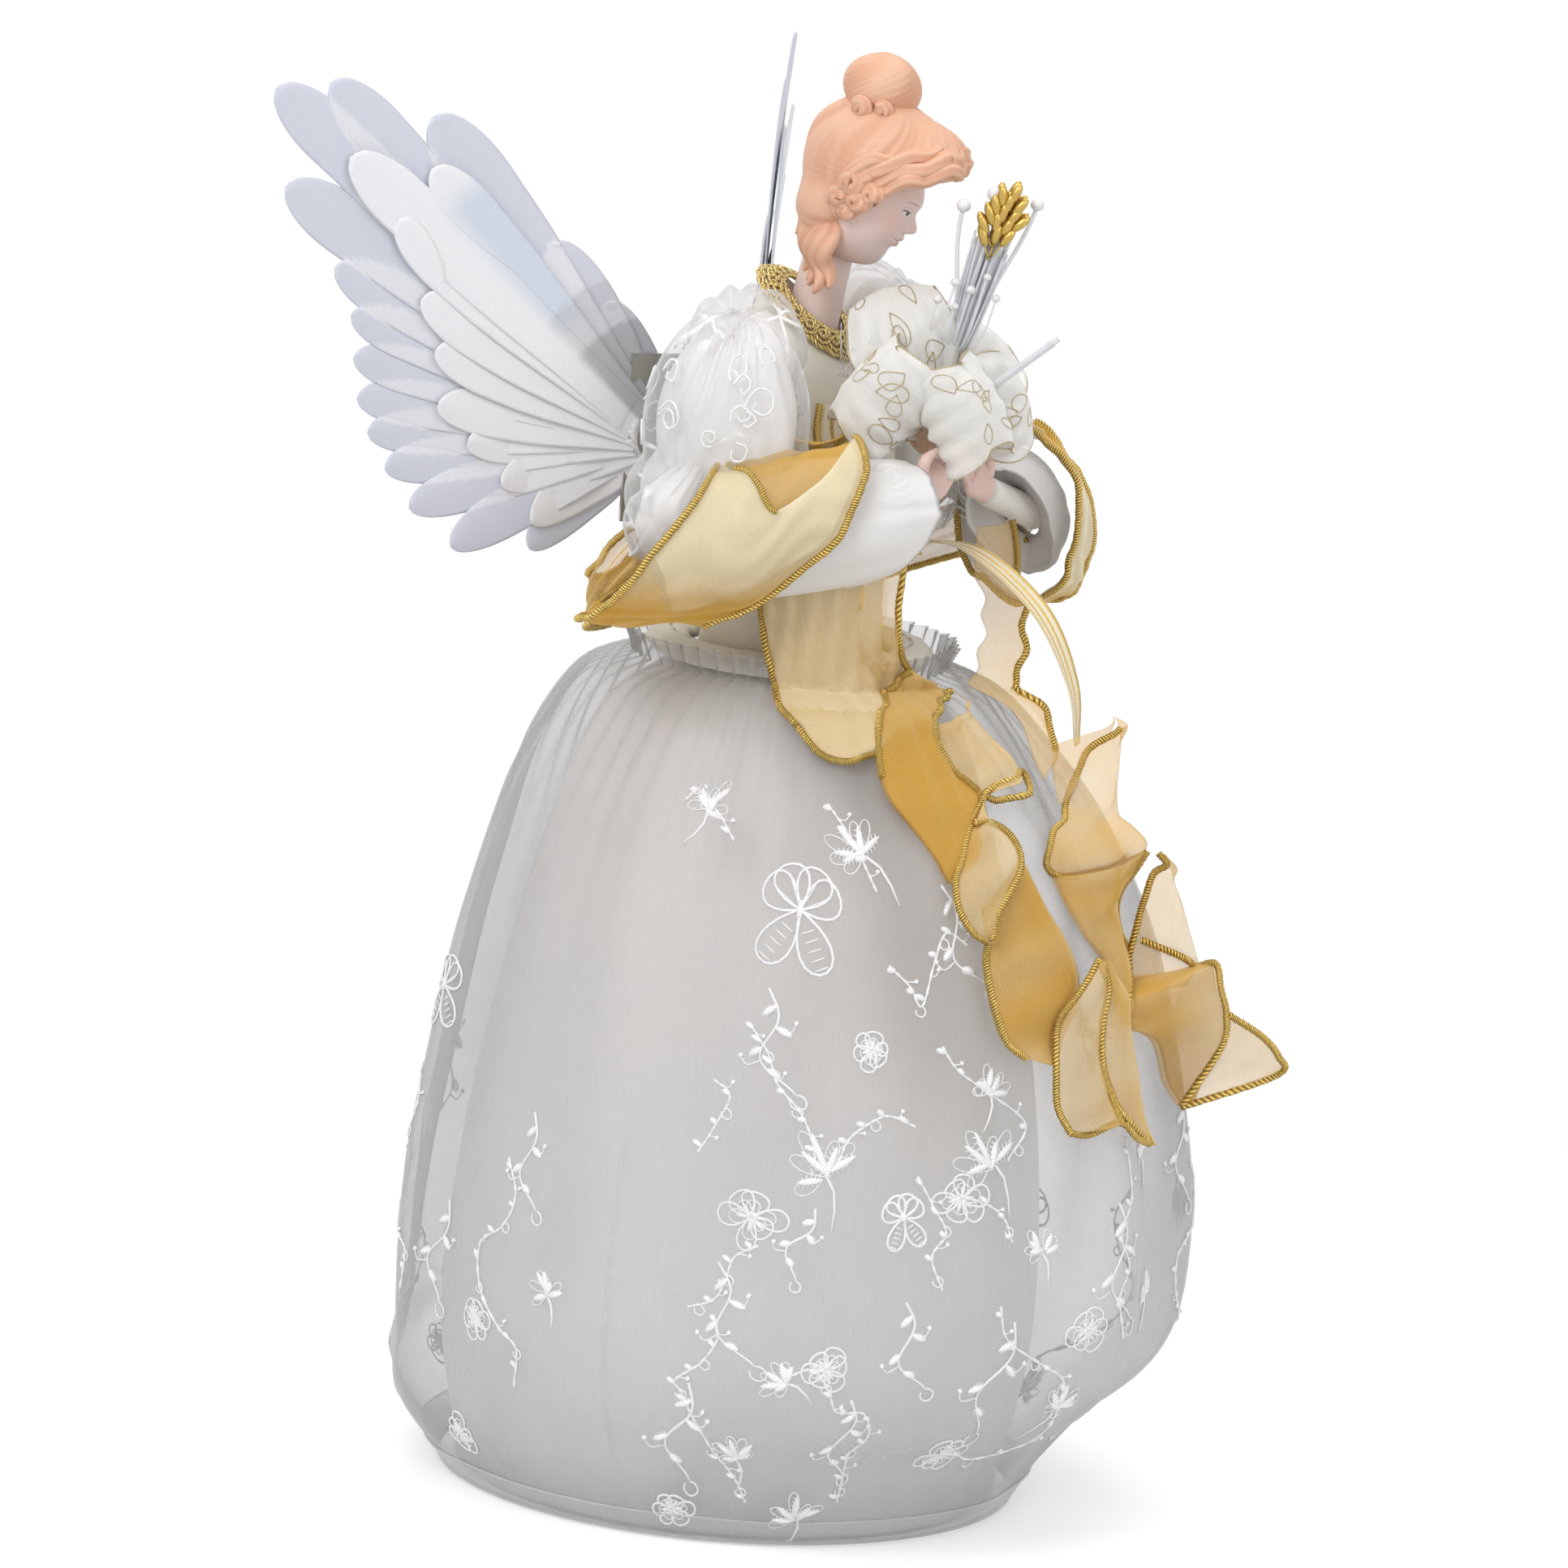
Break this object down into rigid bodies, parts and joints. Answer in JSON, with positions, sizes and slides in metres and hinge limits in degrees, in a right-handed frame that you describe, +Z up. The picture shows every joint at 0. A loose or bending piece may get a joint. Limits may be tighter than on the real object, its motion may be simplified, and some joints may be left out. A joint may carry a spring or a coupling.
{
  "type": "angel tree topper",
  "caption": "Porcelain-headed angel doll in organza skirts over a hollow support cone, with swivelling film wings, a gold shawl and a lit bouquet.",
  "frame": {"origin": "centre of the support cone's base rim, on the surface that it stands on; on a tree it is the middle of the cone's mouth", "axes": "+Z up along the cone, -Y the way the angel faces, +X the angel's left"},
  "size_m": [0.2502, 0.2423, 0.4035],
  "materials": {
    "cone_card": "plain pressed board",
    "moulded_white": "moulded, satin",
    "cell_sleeve": "plain printed sleeve, no words",
    "plated_steel": "zinc plated",
    "circuit_board": "solder mask",
    "clear_plastic": "clear, glossy",
    "light_fibre": "clear fibre with pearl tips",
    "wire_sleeve": "soft white sleeve",
    "body_foam": "padded, cloth covered",
    "bisque_porcelain": "unglazed, painted hair and features",
    "gold_braid": "metallic openwork braid",
    "gold_beads": "gilt beads on wire",
    "white_satin": "satin weave",
    "ivory_satin": "satin weave, ivory",
    "white_organza": "sheer, embroidered in white",
    "gold_organza": "sheer, gold, wired metallic edge",
    "ivory_ribbon": "satin ribbon with a gold edge",
    "striped_ribbon": "sheer cream ribbon with gold stripes",
    "feather_film": "frosted translucent film"
  },
  "bodies": {
    "root": {"support_cone": "cone_card", "battery_shelf": "cone_card", "battery_box": "moulded_white", "battery_cell_lower": "cell_sleeve", "battery_cell_upper": "cell_sleeve", "battery_spring_contact": "plated_steel", "battery_plate_contact": "plated_steel", "light_housing": "moulded_white", "led_board": "circuit_board", "led_lens": "clear_plastic", "fibre_ferrule": "plated_steel", "fibre_harness": "light_fibre", "lead_wire": "wire_sleeve", "housing_screw_right": "plated_steel", "housing_screw_left": "plated_steel", "torso_core": "body_foam", "doll_bust": "bisque_porcelain", "collar_braid": "gold_braid", "bodice": "white_satin", "waist_band": "white_satin", "lining_skirt": "ivory_satin", "overskirt": "white_organza", "right_arm_core": "body_foam", "right_hand": "bisque_porcelain", "right_puff_sleeve": "white_organza", "right_bell_sleeve": "white_satin", "left_arm_core": "body_foam", "left_hand": "bisque_porcelain", "left_puff_sleeve": "white_organza", "left_bell_sleeve": "white_satin", "shawl_right_wrap": "gold_organza", "shawl_left_wrap": "gold_organza", "shawl_back": "gold_organza", "shawl_right_tail": "gold_organza", "shawl_left_tail": "gold_organza", "chest_sash": "striped_ribbon", "sash_bow": "striped_ribbon", "sash_streamer": "striped_ribbon", "bouquet_knot": "ivory_ribbon", "bouquet_petal_top": "ivory_ribbon", "bouquet_petal_right": "ivory_ribbon", "bouquet_petal_left": "ivory_ribbon", "bouquet_petal_front": "ivory_ribbon", "bouquet_petal_back": "ivory_ribbon", "fibre_spray": "light_fibre", "gold_berries": "gold_beads", "fibre_rod": "light_fibre", "wing_bracket": "plated_steel", "wing_screw_lower": "plated_steel", "wing_screw_upper": "plated_steel"},
    "right_wing": {"right_wing_stay": "plated_steel", "right_wing_back_sheet": "feather_film", "right_wing_front_sheet": "feather_film"},
    "left_wing": {"left_wing_stay": "plated_steel", "left_wing_back_sheet": "feather_film", "left_wing_front_sheet": "feather_film"},
    "battery_door": {"battery_door": "moulded_white"},
    "switch_slider": {"switch_slider": "moulded_white"}
  },
  "joints": [
    {"name": "right_wing_swivel", "type": "hinge", "parent": "root", "child": "right_wing", "pos_m": [-0.0084, 0.026, 0.2913], "axis": [0, 0, 1], "range_deg": [-54, 15]},
    {"name": "left_wing_swivel", "type": "hinge", "parent": "root", "child": "left_wing", "pos_m": [0.0084, 0.026, 0.2913], "axis": [0, 0, 1], "range_deg": [-15, 54]},
    {"name": "battery_door_hinge", "type": "hinge", "parent": "root", "child": "battery_door", "pos_m": [0, 0.0309, 0.0064], "axis": [1, 0, 0], "range_deg": [0, 90]},
    {"name": "switch_slide", "type": "slide", "parent": "root", "child": "switch_slider", "axis": [1, 0, 0], "range_m": [0, 0.004]}
  ]
}
